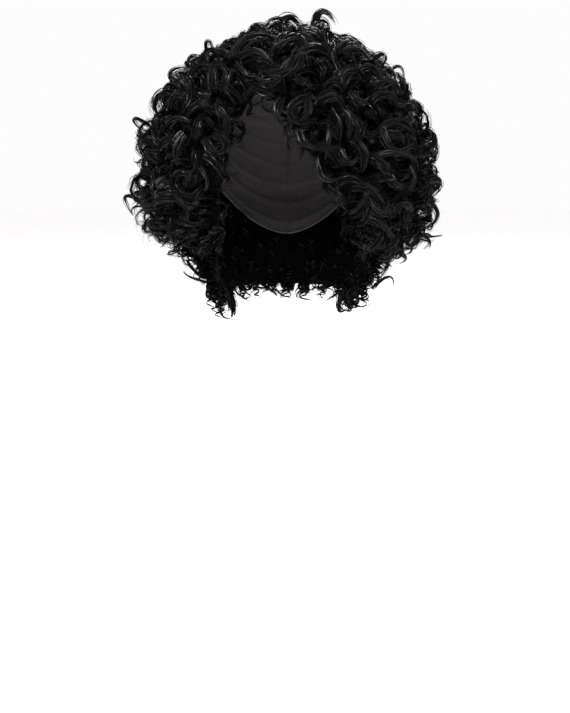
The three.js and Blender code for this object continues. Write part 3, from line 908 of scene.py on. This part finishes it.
def across_edge(section, edge, place, inwards, direction, height, rng):
    """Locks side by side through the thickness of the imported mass, at a place of its open edge."""
    azimuth, polar = place
    inner = float(inner_distance(azimuth, polar))
    outer = float(body_distance(section, azimuth, polar))
    count = max(round((outer - inner) / edge["across"]), 1)
    nearness = max([1 - abs(azimuth - at) / EDGE_FADE for at in edge["longest"]] + [0])
    longer = 1 + (EDGE_LONGEST - 1) * nearness
    for i in range(count):
        share = (i + rng.uniform(*EDGE_SHARE)) / count
        distance = inner + (outer - inner) * share
        back = rng.uniform(*EDGE_BACK) + EDGE_ROUND * height * (1 - math.sqrt(1 - share**2))
        shift = degrees_for(azimuth, polar, distance, back * inwards[0], back * inwards[1])
        swing = direction + rng.uniform(-1, 1) * EDGE_SWING
        curl = wound(rng, edge["kind"], azimuth + shift[0], polar + shift[1], distance, swing)
        stretch = min(longer, max((EDGE_LOWEST - curl["polar"]) / curl["droop"], 1))
        curl["droop"] *= stretch
        curl["turns"] *= stretch
        yield {"root": distance, "tip": distance + rng.uniform(*EDGE_RISE), **curl}


def edge_locks(name, rng):
    """Locks over the open lower edge of a section, and over its open upright edges."""
    section, edge = SECTIONS[name], EDGES[name]
    around = np.linspace(section["from"], section["to"], EDGE_SAMPLES)
    polar = bottom_of(section, around)
    line = off_head(around, polar, body_distance(section, around, polar))
    run = np.concatenate([[0], np.cumsum(np.linalg.norm(np.diff(line, axis=0), axis=1))])
    middle = (section["from"] + section["to"]) / 2
    for at in np.arange(edge["apart"] / 2, run[-1], edge["apart"]):
        azimuth = float(np.interp(at + rng.uniform(-EDGE_JITTER, EDGE_JITTER), run, around))
        low = float(bottom_of(section, azimuth))
        slope = float(bottom_of(section, azimuth + 1)) - low
        wide, tall = degrees_for(azimuth, low, hair_depth(azimuth, low) / 2, 1, 1)
        steep = math.atan(slope * wide / tall)
        inwards = math.sin(steep), -math.cos(steep)
        height = (low - section["top"]) / tall
        yield from across_edge(section, edge, (azimuth, low), inwards, -steep * EDGE_OUT, height, rng)
    for side in edge["sides"]:
        inwards = -float(np.sign(side - middle)), 0
        for root in np.arange(section["top"], section["bottom"], edge["apart"] / DROP_PER_DEGREE):
            yield from across_edge(section, edge, (side, root), inwards, -inwards[0] * EDGE_OUT, 0, rng)


def lining_locks(name, rng):
    """Wavy locks down the inner side of a section, below the cap's edge."""
    section = SECTIONS[name]
    start, stop = section["from"], section["to"]
    count = round(HEAD_HEIGHT * math.radians(stop - start) / LINING_APART)
    for i in range(count):
        azimuth = start + (stop - start) * (i + 0.5) / count
        top = max(float(cap_edge(azimuth)) + LINING_START, section["top"])
        bottom = float(bottom_of(section, azimuth))
        for polar in np.arange(top, bottom - LINING_ROW / 2, LINING_ROW):
            own = polar + rng.uniform(0, LINING_JITTER)
            distance = float(inner_distance(azimuth, own)) + LINING_OFF
            curl = wound(rng, "lining", azimuth, own, distance, rng.uniform(-1, 1) * LINING_SWING)
            yield {"root": distance, "tip": distance + rng.uniform(*LINING_RISE), **curl}


def edge_round(share):
    """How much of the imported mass's thickness is left near its open lower edge."""
    past = np.clip((share - 1 + EDGE_ROUND) / EDGE_ROUND, 0, 1)
    return np.maximum(np.sqrt(1 - past**2), EDGE_LEAST)


def add_body(pile, section, open_edge):
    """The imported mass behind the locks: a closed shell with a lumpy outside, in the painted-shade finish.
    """
    start, stop, top = section["from"], section["to"], section["top"]
    columns = round((stop - start) / BODY_STEP)
    azimuth = np.linspace(start, stop, columns + 1)
    bottom = bottom_of(section, azimuth)
    rows = round((float(bottom.max()) - top) / BODY_STEP)
    share = np.linspace(0, 1, rows + 1)[:, None]
    polar = np.maximum(top + (bottom[None] - top) * share, BODY_TOP)
    around = np.broadcast_to(azimuth, polar.shape)
    inner = inner_distance(around, polar)
    outer = inner + (body_distance(section, around, polar) - inner) * BODY_SHARE
    if open_edge:
        outer = inner + (outer - inner) * edge_round(share)
    first, second = (np.sin(around * across + polar * down) for across, down in BODY_WAVES)
    outer = outer + BODY_LUMP * first * second
    points = np.concatenate([off_head(around, polar, outer), off_head(around, polar, inner)])
    out, into = np.arange(2 * (rows + 1) * (columns + 1)).reshape(2, rows + 1, columns + 1)
    faces = [
        grid_faces(out),
        grid_faces(into)[:, FLIPPED],
        grid_faces(np.stack([out[0], into[0]]))[:, FLIPPED],
        grid_faces(np.stack([out[-1], into[-1]])),
    ]
    if stop - start < 360:
        faces.append(grid_faces(np.stack([out[:, 0], into[:, 0]])))
        faces.append(grid_faces(np.stack([out[:, -1], into[:, -1]]))[:, FLIPPED])
    across = np.broadcast_to(np.radians(azimuth) * HEAD_HEIGHT, polar.shape)
    down = np.radians(polar) * HEAD_HEIGHT
    coords = np.stack([across, np.zeros_like(across), down], axis=-1)
    # The mass takes the darkest tint of the dull finish: painted shade between the locks
    pile.add(points, faces, np.concatenate([coords, coords]), 0, PAINTED_SHADE_FINISH)


def new_material(name):
    """A node material of that finish, with its Principled shader."""
    material = bpy.data.materials.new(name)
    material.use_nodes = True
    shader = material.node_tree.nodes["Principled BSDF"]
    shader.inputs["Roughness"].default_value = FINISHES[name]["roughness"]
    shader.inputs["Specular IOR Level"].default_value = FINISHES[name]["specular"]
    return material, material.node_tree, shader


def attribute(tree, name, output):
    """Output of a node that reads the points' own values."""
    node = tree.nodes.new("ShaderNodeAttribute")
    node.attribute_name = name
    return node.outputs[output]


def colour_by(tree, shader, factor, finish):
    """Gives the shader a colour between the finish's two."""
    ramp = tree.nodes.new("ShaderNodeValToRGB")
    first, second = ramp.color_ramp.elements
    first.color = finish["first"]
    second.color = finish["second"]
    second.position = finish["end"]
    tree.links.new(factor, ramp.inputs["Fac"])
    tree.links.new(ramp.outputs["Color"], shader.inputs["Base Color"])


def bump_by(tree, shader, height, finish, invert):
    """Gives the shader the finish's bumps."""
    strength, distance = finish["bump"]
    bump = tree.nodes.new("ShaderNodeBump")
    bump.invert = invert
    bump.inputs["Strength"].default_value = strength
    bump.inputs["Distance"].default_value = distance
    tree.links.new(height, bump.inputs["Height"])
    tree.links.new(bump.outputs["Normal"], shader.inputs["Normal"])


def hair_material(name):
    """Near-black fibre: each strand its own tint, and fine lines along the locks. Its darker, duller finish
    is painted shade for the depths.
    """
    material, tree, shader = new_material(name)
    colour_by(tree, shader, attribute(tree, "tint", "Fac"), FINISHES[name])
    along = tree.nodes.new("ShaderNodeVectorMath")
    along.operation = "MULTIPLY"
    along.inputs[1].default_value = LINE_STRETCH
    tree.links.new(attribute(tree, "strand", "Vector"), along.inputs[0])
    lines = tree.nodes.new("ShaderNodeTexNoise")
    lines.inputs["Scale"].default_value = 1
    lines.inputs["Detail"].default_value = LINE_DETAIL
    tree.links.new(along.outputs["Vector"], lines.inputs["Vector"])
    bump_by(tree, shader, lines.outputs["Fac"], FINISHES[name], False)
    return material


def net_material(name):
    """Dark stretch net: threads round small open cells."""
    material, tree, shader = new_material(name)
    cells = tree.nodes.new("ShaderNodeTexVoronoi")
    cells.feature = "DISTANCE_TO_EDGE"
    cells.inputs["Scale"].default_value = NET_SCALE
    cells.inputs["Randomness"].default_value = NET_UNEVEN
    tree.links.new(attribute(tree, "strand", "Vector"), cells.inputs["Vector"])
    colour_by(tree, shader, cells.outputs["Distance"], FINISHES[name])
    bump_by(tree, shader, cells.outputs["Distance"], FINISHES[name], True)
    return material


def floor_material(name):
    """Matt pale paper, very slightly mottled."""
    material, tree, shader = new_material(name)
    mottle = tree.nodes.new("ShaderNodeTexNoise")
    mottle.inputs["Scale"].default_value = MOTTLE_SCALE
    colour_by(tree, shader, mottle.outputs["Fac"], FINISHES[name])
    return material


def add_cap(pile):
    """The cap's wall, ribbed inside where rows of hair are sewn on."""
    azimuth = np.linspace(-180, 180, CAP_COLUMNS + 1)[:-1]
    edge = cap_edge(azimuth)

    def surface(rows, distance_at):
        share = np.linspace(CAP_TOP_SHARE, 1, rows + 1)[:, None]
        polar = edge[None] * share
        around = np.broadcast_to(azimuth, polar.shape)
        down = np.radians(polar) * HEAD_HEIGHT
        across = np.radians(around) * HEAD_HEIGHT * np.sin(np.radians(np.minimum(polar, 90)))
        coords = np.stack([across, np.zeros_like(across), down], axis=-1)
        return off_head(around, polar, distance_at(share) + np.zeros_like(polar)), coords

    def inside(share):
        row = share * WEFT_ROWS % 1
        rib = np.clip(1 - np.abs(row - 0.5) / (WEFT_SHARE / 2), 0, 1)
        return -WEFT_RISE * np.sqrt(rib)

    outer, outer_coords = surface(CAP_OUTER_ROWS, lambda share: CAP_WALL)
    inner, inner_coords = surface(CAP_INNER_ROWS, inside)

    out = ring_grid(CAP_OUTER_ROWS + 1, CAP_COLUMNS)
    into = ring_grid(CAP_INNER_ROWS + 1, CAP_COLUMNS) + len(outer) * CAP_COLUMNS
    faces = [
        grid_faces(out),
        grid_faces(into)[:, ::-1],
        grid_faces(np.stack([out[-1], into[-1]])),
        out[:1, :-1],
        into[:1, -2::-1],
    ]
    pile.add(np.concatenate([outer, inner]), faces, np.concatenate([outer_coords, inner_coords]), 0)


def add_hem(pile):
    """The cap's rolled hem."""
    around = np.linspace(-180, 180, HEM_POINTS + 1)
    line = off_head(around, cap_edge(around), np.full(HEM_POINTS + 1, CAP_WALL / 2))
    run = unit(np.gradient(line, axis=0))
    normal = perpendicular(head_normal(around, cap_edge(around)), run)
    side = np.cross(run, normal)
    angle = np.arange(HEM_SIDES) * 2 * np.pi / HEM_SIDES
    spoke = normal[:, None] * np.cos(angle)[None, :, None] + side[:, None] * np.sin(angle)[None, :, None]
    points = line[:, None] + spoke * HEM_RADIUS
    pile.add(points, tube_faces(HEM_POINTS + 1, HEM_SIDES), points * HEM_PATTERN, 1)


def area_light(name, place, size, power):
    """A soft square light that faces the wig."""
    data = bpy.data.lights.new(name, "AREA")
    data.size = size
    data.energy = power
    lamp = bpy.data.objects.new(name, data)
    lamp.location = place
    lamp.rotation_euler = (-Vector(place)).to_track_quat("-Z", "Y").to_euler()
    bpy.context.scene.collection.objects.link(lamp)


def studio():
    """Pale floor, even white surroundings, soft lights and the photograph's camera."""
    scene = bpy.context.scene
    scene.view_settings.view_transform = "Standard"
    world = bpy.data.worlds.new("white_room")
    world.use_nodes = True
    background = world.node_tree.nodes["Background"].inputs
    background["Color"].default_value = SURROUNDINGS
    background["Strength"].default_value = 1
    scene.world = world

    bpy.ops.mesh.primitive_circle_add(
        vertices=FLOOR_SIDES, radius=FLOOR_RADIUS, fill_type="NGON", location=(0, 0, FLOOR_LEVEL)
    )
    floor = bpy.context.object
    floor.name = "floor"
    floor.data.materials.append(floor_material("pale_floor"))

    for name, light in LIGHTS.items():
        area_light(name, **light)

    camera = bpy.data.cameras.new("camera")
    camera.sensor_width = SENSOR
    camera.lens = FOCAL_PIXELS * SENSOR / PHOTO_HEIGHT
    camera.clip_start = CAMERA_NEAR * MM
    eye = bpy.data.objects.new("camera", camera)
    eye.location = Vector(CAMERA_PLACE) * MM
    eye.rotation_euler = (math.radians(90 - CAMERA_PITCH), 0, 0)
    scene.collection.objects.link(eye)
    scene.camera = eye


def add_piece(pile, name, materials):
    """A piece of the wig, which moves with its only body."""
    piece = pile.make(name, materials)
    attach(piece, "root")
    return piece


studio()
# The second hair material is painted shade, a darker and duller copy of the first for the depths
hair = [hair_material("hair_fibre"), hair_material("hair_depth")]
front = front_samples()
for number, (name, section) in enumerate(SECTIONS.items()):
    chance = np.random.default_rng((SEED, number))
    curls = Pile()
    add_body(curls, section, name in EDGES)
    for lock in main_locks(name):
        add_lock(curls, lock, "main", chance)
    for kind, lock in fill_locks(name, chance):
        add_lock(curls, lock, kind, chance)
    for depth, width, *places in STRAYS.get(name, ()):
        add_bent(curls, width, places, stray_depths(depth, chance), chance)
    for width, *places in FRONT_CURLS.get(name, ()):
        add_bent(curls, width, places, front_depths(front, places), chance)
    for lock in flyaway_locks(name, chance):
        add_lock(curls, lock, "flyaway", chance)
    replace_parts(add_piece(curls, name + "_hair", hair), name)
    if name in EDGES:
        ends = Pile()
        for lock in edge_locks(name, chance):
            add_lock(ends, lock, EDGES[name]["kind"], chance)
        for lock in lining_locks(name, chance):
            add_lock(ends, lock, "lining", chance)
        add_piece(ends, name + "_ends", hair)

cap_pile = Pile()
add_cap(cap_pile)
add_hem(cap_pile)
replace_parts(add_piece(cap_pile, "cap_net_wall", [net_material("cap_net")]), "cap")
